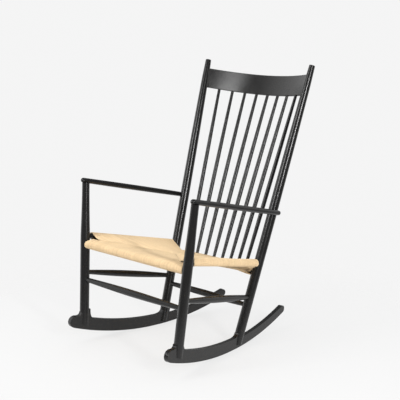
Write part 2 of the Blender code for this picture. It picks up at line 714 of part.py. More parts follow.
def woven_seat():
    """Upper and lower layers of cord, joined round the outside, with the rails inside the rolls."""
    side_roll = SIDE_RAIL_RADIUS + CORD_THICKNESS
    front_roll = FRONT_RAIL_RADIUS + CORD_THICKNESS
    rear_roll = REAR_RAIL_RADIUS + CORD_THICKNESS
    front_corner, rear_corner = leg_at(LEFT, FRONT_RAIL_HEIGHT), post_at(LEFT, REAR_RAIL_HEIGHT)
    across = seat_shares(front_corner.x + rear_corner.x + 2 * side_roll, side_roll, side_roll)
    depth = rear_corner.y - front_corner.y + front_roll + rear_roll
    back = seat_shares(depth, front_roll, rear_roll)
    sheet = bmesh.new()
    for upper in (True, False):
        grid = [[sheet.verts.new(seat_point(a, b, upper)) for a in across] for b in back]
        for row, next_row in zip(grid, grid[1:]):
            for i in range(len(across) - 1):
                corners = [row[i], row[i + 1], next_row[i + 1], next_row[i]]
                sheet.faces.new(corners if upper else reversed(corners))
    bmesh.ops.remove_doubles(sheet, verts=sheet.verts, dist=WELD_DISTANCE)
    mesh = bpy.data.meshes.new("woven_seat")
    sheet.to_mesh(mesh)
    sheet.free()
    mesh.shade_smooth()
    seat = place(bpy.data.objects.new("woven_seat", mesh), Matrix(), paper_cord)
    for side in (LEFT, RIGHT):
        low, high = FRONT_RAIL_HEIGHT - NOTCH_REACH, SIDE_RAIL_FRONT_HEIGHT + NOTCH_REACH
        corner_notch(seat, leg_at(side, low), leg_at(side, high), side, -1, FRONT_CORNER_ROOM)
        low, high = REAR_RAIL_HEIGHT - NOTCH_REACH, SIDE_RAIL_REAR_HEIGHT + NOTCH_REACH
        corner_notch(seat, post_at(side, low), post_at(side, high), side, 1, 0)
    for name, (start, end, radius) in straight_rails().items():
        bore = radius + CLEARANCE
        shape = [(0, bore), ((end - start).length, bore)]
        combine(seat, turned(f"tunnel_for_{name}", shape, start, end, ROD_SIDES), "DIFFERENCE")
    bore = REAR_RAIL_RADIUS + CLEARANCE
    combine(seat, rear_rail("tunnel_for_seat_rear_rail", 0, bore, bore), "DIFFERENCE")
    return seat


def corner_notch(seat, low, high, side, facing, room):
    """The square corner that the cord leaves open for a leg, leaning as the leg does.

    Low and high are points of the leg's axis. Facing is -1 in front and 1 at the back. Room is
    what the notch goes further along the side than across it.
    """
    half = LEG_RADIUS + CORNER_GAP
    size = half + 4 * LEG_RADIUS
    lean = high - low
    shape = Matrix(((size, 0, lean.x, 0), (0, size, lean.y, 0), (0, 0, lean.z, 0), (0, 0, 0, 1)))
    mesh = bpy.data.meshes.new("corner_notch")
    box = bmesh.new()
    bmesh.ops.create_cube(box, size=1, matrix=shape)
    box.to_mesh(mesh)
    box.free()
    middle = (low + high) / 2 + Vector((side, facing, 0)) * (size / 2 - half)
    middle.y -= facing * room
    notch = place(bpy.data.objects.new("corner_notch", mesh), Matrix.Translation(middle))
    combine(seat, notch, "DIFFERENCE")


# The chair

rocker_fork = {}
arm_saddle = {}
for side in (LEFT, RIGHT):
    name = SIDE_NAMES[side]
    frame = rocker_frame(side)
    outline = rocker_outline(side)
    sawn(f"rocker_{name}", outline, ROCKER_THICKNESS, frame, black_lacquer, ROCKER_ROUNDING)
    fork_thickness = ROCKER_THICKNESS + 2 * CLEARANCE
    rocker_fork[side] = sawn(f"fork_{name}", rocker_outline(side, CLEARANCE), fork_thickness, frame)
    arm_saddle[side] = turned(f"saddle_{name}", arm_profile(CLEARANCE), *arm_line(side), ROD_SIDES)

mortise_reach = post_at(LEFT, CREST_HEIGHT).x + PAST_AXIS + SOCKET_ROOM
mortise_outline = crest_band(mortise_reach, CREST_TENON_THICKNESS + 2 * CLEARANCE)
crest_mortise = sawn("crest_mortise", mortise_outline, CREST_TENON_DEPTH + 2 * CLEARANCE, crest_frame())

front_legs = {side: front_leg(side) for side in (LEFT, RIGHT)}
rear_posts = {side: rear_post(side) for side in (LEFT, RIGHT)}
for side in (LEFT, RIGHT):
    arm_dowel(side, arm(side), rear_posts[side])

rails = straight_rails()
for name, (start, end, radius) in rails.items():
    rod(name, start, end, rail_profile, radius)
front_ends = rails["seat_front_rail"][:2]
let_in(*front_ends, front_legs[RIGHT], front_legs[LEFT], RAIL_END_RADIUS, LEG_RADIUS)
seat_rear_rail = rear_rail("seat_rear_rail", PAST_AXIS, RAIL_END_RADIUS, REAR_RAIL_RADIUS, black_lacquer)
socket_radius = RAIL_END_RADIUS + CLEARANCE
sockets = rear_rail("sockets_for_rear_rail", PAST_AXIS + SOCKET_ROOM, socket_radius, socket_radius)
for post in rear_posts.values():
    combine(post, sockets, "DIFFERENCE")

front_line = [leg_at(side, FRONT_STRETCHER_HEIGHT) for side in (RIGHT, LEFT)]
rear_line = [post_at(side, REAR_STRETCHER_HEIGHT) for side in (RIGHT, LEFT)]
rod("front_stretcher", *front_line, stretcher_profile)
rod("rear_stretcher", *rear_line, stretcher_profile)
let_in(*front_line, front_legs[RIGHT], front_legs[LEFT], STRETCHER_END_RADIUS, LEG_RADIUS)
let_in(*rear_line, rear_posts[RIGHT], rear_posts[LEFT], STRETCHER_END_RADIUS, POST_RADIUS)

for side in (LEFT, RIGHT):
    name = SIDE_NAMES[side]
    line = leg_at(side, SIDE_STRETCHER_FRONT_HEIGHT), post_at(side, SIDE_STRETCHER_REAR_HEIGHT)
    rod(f"side_stretcher_{name}", *line, stretcher_profile)
    let_in(*line, front_legs[side], rear_posts[side], STRETCHER_END_RADIUS, LEG_RADIUS)
    rail_ends = rails[f"seat_side_rail_{name}"][:2]
    let_in(*rail_ends, front_legs[side], rear_posts[side], RAIL_END_RADIUS, LEG_RADIUS)

seat = woven_seat()
crest = crest_rail()
for number in range(SPINDLE_COUNT):
    spindle(number, crest, seat_rear_rail, seat)


def footprint_middle():
    """The middle of the chair's box, on the floor."""
    graph = bpy.context.evaluated_depsgraph_get()
    points = []
    for obj in parts.objects:
        if obj.type == "MESH":
            shown = obj.evaluated_get(graph)
            points += [shown.matrix_world @ vertex.co for vertex in shown.data.vertices]
    middle = [(min(p[i] for p in points) + max(p[i] for p in points)) / 2 for i in (0, 1)]
    return Vector((*middle, min(p.z for p in points)))


bpy.context.view_layer.update()
origin.location = -footprint_middle()
bpy.context.view_layer.update()
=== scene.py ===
"""Spindle back rocking chair in black lacquered beech, with a seat woven from paper cord.

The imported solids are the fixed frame, and each section dresses one group of pieces, in the order in
which the chair is put together. Metres, +Z up. The sitter faces -Y, so their left hand is at +X.
"""

import math

import bmesh
import bpy
from mathutils import Matrix, Vector


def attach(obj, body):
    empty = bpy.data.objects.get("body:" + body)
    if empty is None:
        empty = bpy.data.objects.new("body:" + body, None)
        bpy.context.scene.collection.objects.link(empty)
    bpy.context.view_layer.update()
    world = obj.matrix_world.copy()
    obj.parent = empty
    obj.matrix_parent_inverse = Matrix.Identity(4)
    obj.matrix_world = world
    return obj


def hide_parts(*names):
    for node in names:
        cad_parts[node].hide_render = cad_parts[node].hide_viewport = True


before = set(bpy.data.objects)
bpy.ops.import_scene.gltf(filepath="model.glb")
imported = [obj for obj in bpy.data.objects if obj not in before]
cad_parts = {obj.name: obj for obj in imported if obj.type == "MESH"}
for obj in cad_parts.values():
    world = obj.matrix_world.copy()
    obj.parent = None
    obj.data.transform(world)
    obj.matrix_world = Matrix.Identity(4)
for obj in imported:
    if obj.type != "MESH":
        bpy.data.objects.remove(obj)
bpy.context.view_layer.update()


# Rockers: two beech planks that stand on edge, sawn to an arc with concave ears beside the legs.
# Their edges are rounded over, and the wood is sprayed in satin black lacquer, which lets a little
# of the grain through.

def put(tree, kind, inputs=None, **settings):
    """A new node. Each input is given as a value, or as the socket that it is linked to."""
    node = tree.nodes.new(kind)
    for name, value in settings.items():
        setattr(node, name, value)
    for name, value in (inputs or {}).items():
        if isinstance(value, bpy.types.NodeSocket):
            tree.links.new(value, node.inputs[name])
        else:
            node.inputs[name].default_value = value
    return node


def reckon(tree, operation, *values):
    """The result of a Math node."""
    return put(tree, "ShaderNodeMath", dict(enumerate(values)), operation=operation).outputs[0]


def new_group(name, kind, takes, gives):
    """An empty node group with named sockets, and its input and output nodes."""
    tree = bpy.data.node_groups.new(name, kind)
    for socket, (socket_type, value) in takes.items():
        made = tree.interface.new_socket(socket, in_out="INPUT", socket_type=socket_type)
        if value is not None:
            made.default_value = value
    for socket, socket_type in gives.items():
        tree.interface.new_socket(socket, in_out="OUTPUT", socket_type=socket_type)
    return tree, tree.nodes.new("NodeGroupInput").outputs, tree.nodes.new("NodeGroupOutput").inputs


lacquer_group, given, lacquer_out = new_group(
    "satin_black_lacquer",
    "ShaderNodeTree",
    {"Grain": ("NodeSocketVector", None)},
    {"Colour": "NodeSocketColor", "Roughness": "NodeSocketFloat", "Height": "NodeSocketFloat"},
)
lacquer_tints = (0.0050, 0.0050, 0.0053, 1), (0.0150, 0.0144, 0.0139, 1)
dullest, glossiest = 0.28, 0.20
streaks_per_metre, pores_per_metre, polish_per_metre = (5, 230, 230), (90, 1500, 1500), 22
pore_depth = 0.12
streak_place = put(
    lacquer_group, "ShaderNodeVectorMath",
    {0: given["Grain"], 1: streaks_per_metre}, operation="MULTIPLY",
)
streaks = put(
    lacquer_group, "ShaderNodeTexNoise",
    {"Vector": streak_place.outputs[0], "Scale": 1.0, "Detail": 4.0, "Roughness": 0.62},
).outputs["Fac"]
pore_place = put(
    lacquer_group, "ShaderNodeVectorMath",
    {0: given["Grain"], 1: pores_per_metre}, operation="MULTIPLY",
)
pores = put(
    lacquer_group, "ShaderNodeTexNoise", {"Vector": pore_place.outputs[0], "Scale": 1.0, "Detail": 2.0}
).outputs["Fac"]
polish = put(
    lacquer_group, "ShaderNodeTexNoise",
    {"Vector": given["Grain"], "Scale": polish_per_metre, "Detail": 3.0},
).outputs["Fac"]
tint = put(
    lacquer_group, "ShaderNodeMix",
    {0: streaks, 6: lacquer_tints[0], 7: lacquer_tints[1]}, data_type="RGBA",
)
gloss = put(
    lacquer_group, "ShaderNodeMapRange",
    {"Value": polish, "From Min": 0.3, "From Max": 0.7, "To Min": glossiest, "To Max": dullest},
)
relief = reckon(lacquer_group, "ADD", streaks, reckon(lacquer_group, "MULTIPLY", pores, pore_depth))
lacquer_group.links.new(tint.outputs[2], lacquer_out["Colour"])
lacquer_group.links.new(gloss.outputs[0], lacquer_out["Roughness"])
lacquer_group.links.new(relief, lacquer_out["Height"])

lacquer_mirroring = 0.40
grain_strength, grain_depth = 0.02, 0.0004
grain_round_stick, next_blank = 0.01, 3.7


def lacquered(name, along=None):
    """Black lacquer over wood whose grain runs along an axis or, if none is given, along each stick.

    Each stick then shows another stretch of the grain, as it is turned from a blank of its own.
    """
    finish = bpy.data.materials.new(name)
    finish.use_nodes = True
    tree = finish.node_tree
    shader = tree.nodes["Principled BSDF"]
    if along:
        turn = Vector(along).rotation_difference(Vector((1, 0, 0))).to_euler()
        where = put(tree, "ShaderNodeTexCoord").outputs["Object"]
        grain = put(tree, "ShaderNodeMapping", {"Vector": where, "Rotation": turn}).outputs[0]
    else:
        ring = put(tree, "ShaderNodeAttribute", attribute_name="ring").outputs["Vector"]
        across = put(
            tree, "ShaderNodeVectorMath", {0: ring, "Scale": grain_round_stick}, operation="SCALE"
        ).outputs[0]
        length = put(tree, "ShaderNodeAttribute", attribute_name="along").outputs["Fac"]
        number = put(tree, "ShaderNodeAttribute", attribute_name="number").outputs["Fac"]
        start = reckon(tree, "MULTIPLY_ADD", number, next_blank, length)
        parts = put(tree, "ShaderNodeSeparateXYZ", {0: across}).outputs
        grain = put(tree, "ShaderNodeCombineXYZ", {0: start, 1: parts[0], 2: parts[1]}).outputs[0]
    coat = put(tree, "ShaderNodeGroup", node_tree=lacquer_group)
    tree.links.new(grain, coat.inputs["Grain"])
    tree.links.new(coat.outputs["Colour"], shader.inputs["Base Color"])
    tree.links.new(coat.outputs["Roughness"], shader.inputs["Roughness"])
    shader.inputs["Specular IOR Level"].default_value = lacquer_mirroring
    bump = put(
        tree, "ShaderNodeBump",
        {"Strength": grain_strength, "Distance": grain_depth, "Height": coat.outputs["Height"]},
    )
    tree.links.new(bump.outputs[0], shader.inputs["Normal"])
    return finish


same_point, true_edge = 0.00002, math.radians(36)


def smooth_copy(node, finish):
    """A copy of a solid with its triangles joined, shaded smooth but for its true edges.

    The copy stands in for the solid, and has its shape.
    """
    joined = bmesh.new()
    joined.from_mesh(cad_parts[node].data)
    bmesh.ops.remove_doubles(joined, verts=joined.verts, dist=same_point)
    joined.verts.index_update()
    corners = [vertex.co.copy() for vertex in joined.verts]
    faces = [[vertex.index for vertex in face.verts] for face in joined.faces]
    joined.free()
    mesh = bpy.data.meshes.new("lacquered_" + node)
    mesh.from_pydata(corners, [], faces)
    mesh.shade_smooth()
    mesh.set_sharp_from_angle(angle=true_edge)
    mesh.materials.append(finish)
    piece = bpy.data.objects.new("lacquered_" + node, mesh)
    bpy.context.scene.collection.objects.link(piece)
    flatness = piece.modifiers.new("flat_faces_stay_flat", "WEIGHTED_NORMAL")
    flatness.weight = 100
    flatness.keep_sharp = True
    graph = bpy.context.evaluated_depsgraph_get()
    piece.data = bpy.data.meshes.new_from_object(piece.evaluated_get(graph))
    piece.modifiers.remove(flatness)
    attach(piece, "root")
    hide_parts(node)
    return piece


lengthwise_lacquer = lacquered("lacquer_grain_front_to_back", (0, 1, 0))
for side in ("left", "right"):
    smooth_copy(f"rocker_{side}", lengthwise_lacquer)


# Front legs and rear posts: turned from beech, forked at the foot and glued over the rockers. The
# legs narrow to a neck under the arms, and the posts lean back and thin out towards their tips.

leg_foot, leg_head = Vector((0.255, -0.3585, 0.0)), Vector((0.295, -0.3015, 0.620))
post_foot, post_head = Vector((0.206, 0.0175, 0.0)), Vector((0.274, 0.3565, 1.065))
leg_radius = 0.0183
leg_lacquer = lacquered("lacquer_grain_up_legs", (0, leg_head.y - leg_foot.y, leg_head.z))
post_lacquer = lacquered("lacquer_grain_up_posts", (0, post_head.y - post_foot.y, post_head.z))
for side in ("left", "right"):
    smooth_copy(f"front_leg_{side}", leg_lacquer)
    smooth_copy(f"rear_post_{side}", post_lacquer)


# Stretchers: four rods turned from beech, thickest half way along. Their thin ends are glued into
# sockets in the legs and posts under the seat, and the two at the sides stand higher in front.

def on_axis(foot, head, height):
    return foot.lerp(head, (height - foot.z) / (head.z - foot.z))


def leg_at(height):
    """A point on the axis of the left front leg."""
    return on_axis(leg_foot, leg_head, height)


def post_at(height):
    """A point on the axis of the left rear post."""
    return on_axis(post_foot, post_head, height)


def other_side(point):
    return Vector((-point.x, point.y, point.z))


def swept(tree, curve, given, width):
    """Nodes that sweep a round section along curves, and keep the place along and round each one."""
    length = put(tree, "GeometryNodeSplineParameter").outputs["Length"]
    number = put(tree, "GeometryNodeCurveOfPoint").outputs["Curve Index"]
    tone = put(
        tree, "FunctionNodeRandomValue", {"ID": number, "Seed": given["Seed"]}, data_type="FLOAT"
    ).outputs[1]
    for name, value in (("along", length), ("number", tone)):
        curve = put(
            tree, "GeometryNodeStoreNamedAttribute", {"Geometry": curve, "Name": name, "Value": value}
        ).outputs[0]
    circle = put(
        tree, "GeometryNodeCurvePrimitiveCircle", {"Resolution": given["Sides"], "Radius": 1.0}
    )
    ring = put(tree, "GeometryNodeStoreNamedAttribute", data_type="FLOAT_VECTOR")
    tree.links.new(circle.outputs["Curve"], ring.inputs["Geometry"])
    ring.inputs["Name"].default_value = "ring"
    tree.links.new(put(tree, "GeometryNodeInputPosition").outputs[0], ring.inputs["Value"])
    sweep = put(
        tree, "GeometryNodeCurveToMesh",
        {"Curve": curve, "Profile Curve": ring.outputs[0], "Scale": width, "Fill Caps": True},
    )
    smooth = put(tree, "GeometryNodeSetShadeSmooth", {"Geometry": sweep.outputs[0]})
    whole = put(tree, "GeometryNodeRealizeInstances", {"Geometry": smooth.outputs[0]})
    return put(
        tree, "GeometryNodeSetMaterial", {"Geometry": whole.outputs[0], "Material": given["Finish"]}
    ).outputs[0]


stick_tree, given, stick_out = new_group(
    "turned_sticks",
    "GeometryNodeTree",
    {
        "Axes": ("NodeSocketGeometry", None),
        "End Radius": ("NodeSocketFloat", 0.005),
        "Middle Radius": ("NodeSocketFloat", 0.007),
        "Bare End": ("NodeSocketFloat", 0.0),
        "Lean": ("NodeSocketFloat", 1.0),
        "Steps": ("NodeSocketInt", 24),
        "Sides": ("NodeSocketInt", 28),
        "Seed": ("NodeSocketInt", 1),
        "Finish": ("NodeSocketMaterial", None),
    },
    {"Sticks": "NodeSocketGeometry"},
)
axes = put(stick_tree, "GeometryNodeMeshToCurve", {"Mesh": given["Axes"]})
axes = put(
    stick_tree, "GeometryNodeResampleCurve", {"Curve": axes.outputs[0], "Count": given["Steps"]}
)
distance = put(stick_tree, "GeometryNodeSplineParameter").outputs["Length"]
whole_length = put(stick_tree, "GeometryNodeSplineLength").outputs["Length"]
share = put(
    stick_tree, "ShaderNodeMapRange",
    {
        "Value": distance,
        "From Min": given["Bare End"],
        "From Max": reckon(stick_tree, "SUBTRACT", whole_length, given["Bare End"]),
    },
).outputs[0]
lean = reckon(stick_tree, "POWER", share, given["Lean"])
swell = reckon(stick_tree, "SINE", reckon(stick_tree, "MULTIPLY", lean, math.pi))
added = reckon(stick_tree, "SUBTRACT", given["Middle Radius"], given["End Radius"])
radius = reckon(stick_tree, "MULTIPLY_ADD", swell, added, given["End Radius"])
stick_tree.links.new(swept(stick_tree, axes.outputs[0], given, radius), stick_out["Sticks"])


def grown(name, tree, paths, sizes):
    """A plain mesh piece that a node tree makes from paths, with its inputs given by name."""
    points = [point for path in paths for point in path]
    edges = []
    first = 0
    for path in paths:
        edges += [(i, i + 1) for i in range(first, first + len(path) - 1)]
        first += len(path)
    guide_mesh = bpy.data.meshes.new(name + "_guide")
    guide_mesh.from_pydata(points, edges, [])
    guide = bpy.data.objects.new(name + "_guide", guide_mesh)
    bpy.context.scene.collection.objects.link(guide)
    modifier = guide.modifiers.new(tree.name, "NODES")
    modifier.node_group = tree
    for socket in tree.interface.items_tree:
        if socket.name in sizes:
            modifier[socket.identifier] = sizes[socket.name]
    graph = bpy.context.evaluated_depsgraph_get()
    mesh = bpy.data.meshes.new_from_object(
        guide.evaluated_get(graph), preserve_all_data_layers=True, depsgraph=graph
    )
    bpy.data.objects.remove(guide)
    mesh.name = name
    piece = bpy.data.objects.new(name, mesh)
    bpy.context.scene.collection.objects.link(piece)
    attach(piece, "root")
    return piece


past_axis = 0.004
stretcher_end, stretcher_middle = 0.0088, 0.0132
front_stretcher_height, rear_stretcher_height = 0.246, 0.1595
side_stretcher_front, side_stretcher_rear = 0.274, 0.190
stretcher_sizes = {
    "End Radius": stretcher_end,
    "Middle Radius": stretcher_middle,
    "Bare End": leg_radius + past_axis,
}
stick_lacquer = lacquered("lacquer_grain_along_sticks")
front_socket, rear_socket = leg_at(front_stretcher_height), post_at(rear_stretcher_height)
side_axis = [leg_at(side_stretcher_front), post_at(side_stretcher_rear)]
stretcher_axes = {
    "front_stretcher": [other_side(front_socket), front_socket],
    "rear_stretcher": [other_side(rear_socket), rear_socket],
    "side_stretcher_left": side_axis,
    "side_stretcher_right": [other_side(point) for point in side_axis],
}
for seed, (node, (start, end)) in enumerate(stretcher_axes.items()):
    along = (end - start).normalized() * past_axis
    sizes = {**stretcher_sizes, "Seed": seed, "Finish": stick_lacquer}
    stretcher = grown("turned_" + node, stick_tree, [[start - along, end + along]], sizes)
    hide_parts(node)


# Seat rails: four round beech rails, glued into the legs and posts and all but hidden in the cord
# that is wound round them. The rear one is bowed. Lacquered ends show in the corners beside the legs.

crosswise_lacquer = lacquered("lacquer_grain_side_to_side", (1, 0, 0))
rail_lacquer = {
    "seat_front_rail": crosswise_lacquer,
    "seat_rear_rail": crosswise_lacquer,
    "seat_side_rail_left": lengthwise_lacquer,
    "seat_side_rail_right": lengthwise_lacquer,
}
for node, finish in rail_lacquer.items():
    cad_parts[node].material_slots[0].material = finish


# Woven seat: three-ply paper cord wound over the rails in an envelope pattern. In each of its four
# fields the strands run square to their rail, from a seam in the upper layer, round the rail and
# back to the same seam underneath. Card is pushed in between the layers to fill the seat out.

# The cord, and how thick and how dished the seat is.
cord_thickness, cord_pitch = 0.0034, 0.00352
layer_thickness, middle_thickness, seat_dish = 0.0036, 0.022, 0.006

# The rails that it is wound on: their radii and the heights of their axes.
front_rail, front_height = 0.0130, 0.384
rear_rail, rear_height, rear_bow = 0.0108, 0.284, 0.020
side_rail, side_front, side_rear = 0.0118, leg_at(0.416), post_at(0.320)
front_y = leg_at(front_height).y
rear_corner = post_at(rear_height)

# How the layers follow the rails nearest to them, and how the seams climb from the corners.
nearest_pull, pull_power = 0.002, 1.5
side_lap, low_side_rise, corner_climb = 0.036, 0.004, 0.45

# How the last strands beside the legs lean, open a slit, slant, and fall to the seam.
corner_gap, side_gap = 0.0012, 0.005
beside_leg = leg_radius + corner_gap + cord_thickness / 2
leaning_strands, front_lean, side_lean = 20, 0.0055, 0.006
left_slit, right_slit, right_slant, right_fall = 0.006, 0.006, 0.0045, 1.4
rear_slant, slant_reach = 0.012, 0.040

# How finely the paths are drawn, and how far their ends dip under the strands of another field.
seam_step, point_spacing, turn_steps = 0.0005, 0.012, 8
tuck_depth, tuck_run = cord_thickness * 0.9, cord_thickness / 3


def side_at(y):
    """A point on the axis of the left side rail, or beyond its ends."""
    share = (y - side_front.y) / (side_rear.y - side_front.y)
    point = side_front.lerp(side_rear, share)
    point.z = side_front.lerp(side_rear, min(max(share, 0), 1)).z
    return point


def rear_y(x):
    return rear_corner.y + rear_bow * (1 - (x / rear_corner.x) ** 2)


def pulls_at(x, y):
    """Distance inwards from each rail's axis, the rail's height there and its radius with the cord."""
    beside = side_at(y)
    return {
        "front": (y - front_y, front_height, front_rail + layer_thickness),
        "rear": (rear_y(x) - y, rear_height, rear_rail + layer_thickness),
        "left": (beside.x - x, beside.z, side_rail + layer_thickness),
        "right": (beside.x + x, beside.z, side_rail + layer_thickness),
    }


def layers_at(x, y):
    """The seat's middle height and half its thickness over a point of the floor."""
    pulls = list(pulls_at(x, y).values())
    weights = [max(distance, nearest_pull) ** -pull_power for distance, _, _ in pulls]
    middle = sum(weight * pull[1] for weight, pull in zip(weights, pulls)) / sum(weights)
    inside, _, roll = min(pulls)
    share = min(max(inside / (side_at(y).x / 2), 0), 1)
    half = roll + (middle_thickness / 2 - roll) * math.sin(share * math.pi / 2)
    return middle - seat_dish * share**2, half


def seam_layers(x, y):
    """The same at a seam, where the side strands are drawn down to those of the front and the rear."""
    middle, half = layers_at(x, y)
    pulls = pulls_at(x, y)
    for end in ("front", "rear"):
        distance, height, _ = pulls[end]
        climb = corner_climb * max(distance - beside_leg, 0)
        middle = min(middle, height + low_side_rise + climb)
    return middle, half


def in_field(field, along, inward):
    """The floor point at a place along a field's rail and a distance inwards from the rail's axis."""
    if field == "front":
        return along, front_y + inward
    if field == "rear":
        return along, rear_y(along) - inward
    x = side_at(along).x - inward
    return (x if field == "left" else -x), along


def seam_distance(field, place_along):
    """How far inwards a strand runs before it goes under those of another field."""
    inward = beside_leg
    while True:
        x, y = in_field(field, place_along(inward), inward)
        reach = {name: pull[0] for name, pull in pulls_at(x, y).items()}
        for side in ("left", "right"):
            reach[side] -= side_lap
        if reach.pop(field) >= min(reach.values()):
            return inward
        inward += seam_step


def strand(field, place_along, rail_radius, steepness=1):
    """A strand's path from the upper seam to its rail, round it and back to the lower seam.

    Beside a steep corner, the strand falls sooner from its rail to the height of the seam.
    """
    seam = seam_distance(field, place_along)
    steps = max(3, round(seam / point_spacing))
    rail_x, rail_y = in_field(field, place_along(0), 0)
    rail_z = pulls_at(rail_x, rail_y)[field][1]
    turn_radius = rail_radius + cord_thickness / 2
    seam_z, seam_half = seam_layers(*in_field(field, place_along(seam), seam))
    seam_reach = seam_half - cord_thickness / 2
    upper, lower = [], []
    for i in range(steps):
        share = 1 - i / steps
        x, y = in_field(field, place_along(seam * share), seam * share)
        middle = rail_z + (seam_z - rail_z) * (1 - (1 - share) ** steepness)
        reach = turn_radius + (seam_reach - turn_radius) * share
        upper.append(Vector((x, y, middle + reach)))
        lower.append(Vector((x, y, middle - reach)))
    x, y = in_field(field, place_along(seam), seam + tuck_run)
    tuck = Vector((x, y, upper[0].z - tuck_depth))
    untuck = Vector((x, y, lower[0].z + tuck_depth))
    turn = []
    for i in range(turn_steps + 1):
        angle = math.pi * (0.5 - i / turn_steps)
        inward = -turn_radius * math.cos(angle)
        x, y = in_field(field, place_along(inward), inward)
        turn.append(Vector((x, y, rail_z + turn_radius * math.sin(angle))))
    return [tuck] + upper + turn + lower[::-1] + [untuck]


def evenly(first, last, count):
    return [first + (last - first) * i / (count - 1) for i in range(count)]


def end_shares(count):
    """1 for the strand beside a leg, falling to 0 for those further along the rail."""
    return [max(1 - i / leaning_strands, 0) for i in range(count)]


def leaned(place, lean, slant=0):
    """A strand that leans to the leg outside its rail, and may slant on its way to the seam."""
    def place_along(inward):
        outside = min(max(-inward / side_rail, 0), 1)
        inside = min(max(inward / slant_reach, 0), 1)
        return place + lean * outside**2 + slant * inside
    return place_along


def eased(near, far, spread_from, spread_to):
    """A strand that leaves the rail at one place and is spread to another further in."""
    def place_along(inward):
        share = min(max((inward - spread_from) / (spread_to - spread_from), 0), 1)
        share = share * share * (3 - 2 * share)
        return near + (far - near) * share
    return place_along


front_end = leg_at(front_height).x - beside_leg
front_strands = evenly(-front_end, front_end, round(2 * front_end / cord_pitch) + 1)
side_ends = side_front.y + beside_leg + side_gap, side_rear.y - beside_leg
side_strands = evenly(*side_ends, round((side_ends[1] - side_ends[0]) / cord_pitch) + 1)
corner_shares = end_shares(len(side_strands))
front_shares = end_shares(len(front_strands))
front_leans = [front_lean * (right - left) for left, right in zip(front_shares, front_shares[::-1])]

spindle_count, spindle_foot_pitch, spindle_hole = 8, 0.0446, 0.0065
spindle_feet = [(i - (spindle_count - 1) / 2) * spindle_foot_pitch for i in range(spindle_count)]
beside_spindle = spindle_hole + cord_thickness / 2
rear_end = rear_corner.x - beside_leg
bay_starts = [-rear_end] + [foot + beside_spindle for foot in spindle_feet]
bay_ends = [foot - beside_spindle for foot in spindle_feet] + [rear_end]
rear_near = []
for bay_start, bay_end in zip(bay_starts, bay_ends):
    rear_near += evenly(bay_start, bay_end, round((bay_end - bay_start) / cord_pitch) + 1)
rear_far = evenly(-rear_end, rear_end, len(rear_near))
spread_start, spread_end = 0.010, 0.080

seat_paths = {"front": [], "rear": [], "left": [], "right": []}
for x, lean in zip(front_strands, front_leans):
    seat_paths["front"].append(strand("front", leaned(x, lean), front_rail))
for near, far in zip(rear_near, rear_far):
    spread = eased(near, far, spread_start, spread_end)
    seat_paths["rear"].append(strand("rear", spread, rear_rail))
for y, front_share, rear_share in zip(side_strands, corner_shares, corner_shares[::-1]):
    left_shift, right_shift = left_slit * front_share, right_slit * front_share
    left_lean, right_lean = -(side_lean + left_slit) * front_share, -side_lean * front_share
    rear_turn = rear_slant * rear_share
    left_way = leaned(y + left_shift, left_lean, rear_turn - left_shift)
    right_way = leaned(y + right_shift, right_lean, rear_turn - right_slant * front_share)
    seat_paths["left"].append(strand("left", left_way, side_rail))
    seat_paths["right"].append(strand("right", right_way, side_rail, 1 + right_fall * front_share))

cord_tree, given, cord_out = new_group(
    "wound_cord",
    "GeometryNodeTree",
    {
        "Strands": ("NodeSocketGeometry", None),
        "Cord Thickness": ("NodeSocketFloat", 0.0035),
        "Sides": ("NodeSocketInt", 8),
        "Seed": ("NodeSocketInt", 1),
        "Finish": ("NodeSocketMaterial", None),
    },
    {"Cord": "NodeSocketGeometry"},
)
strands = put(cord_tree, "GeometryNodeMeshToCurve", {"Mesh": given["Strands"]}).outputs[0]
half_cord = reckon(cord_tree, "MULTIPLY", given["Cord Thickness"], 0.5)
cord_tree.links.new(swept(cord_tree, strands, given, half_cord), cord_out["Cord"])

strand_tints = (0.735, 0.556, 0.332, 1), (0.850, 0.656, 0.409, 1)
fibre_tints = (0.88, 0.86, 0.83, 1), (1.10, 1.10, 1.12, 1)
# The colour that paints shade into the grooves between the plies of the cord.
painted_groove_shade_tint = (0.80, 0.74, 0.66, 1)
smoothest_paper, roughest_paper = 0.62, 0.82
plies, lay, fibres_per_metre, next_strand = 3, 0.011, 60, 50
twist_strength, ply_depth, fibre_depth = 0.6, 0.0005, 0.25
paper_cord = bpy.data.materials.new("twisted_paper_cord")
paper_cord.use_nodes = True
tree = paper_cord.node_tree
shader = tree.nodes["Principled BSDF"]
ring = put(tree, "ShaderNodeAttribute", attribute_name="ring").outputs["Vector"]
length = put(tree, "ShaderNodeAttribute", attribute_name="along").outputs["Fac"]
number = put(tree, "ShaderNodeAttribute", attribute_name="number").outputs["Fac"]
parts = put(tree, "ShaderNodeSeparateXYZ", {0: ring}).outputs
angle = reckon(tree, "ARCTAN2", parts[1], parts[0])
ply_angle = reckon(tree, "MULTIPLY", angle, plies)
twist = reckon(tree, "MULTIPLY_ADD", length, -math.tau * plies / lay, ply_angle)
ply_rise = reckon(tree, "ABSOLUTE", reckon(tree, "SINE", reckon(tree, "MULTIPLY", twist, 0.5)))
groove = put(
    tree, "ShaderNodeMapRange",
    {"Value": ply_rise, "From Min": 0.0, "From Max": 0.5, "To Min": 0.0, "To Max": 1.0},
).outputs[0]
fibre_place = put(
    tree, "ShaderNodeCombineXYZ",
    {
        0: reckon(tree, "MULTIPLY", length, fibres_per_metre),
        1: twist,
        2: reckon(tree, "MULTIPLY", number, next_strand),
    },
).outputs[0]
fibre = put(
    tree, "ShaderNodeTexNoise", {"Vector": fibre_place, "Scale": 1.4, "Detail": 4.0, "Roughness": 0.65}
).outputs["Fac"]
strand_tint = put(
    tree, "ShaderNodeMix", {0: number, 6: strand_tints[0], 7: strand_tints[1]}, data_type="RGBA"
).outputs[2]
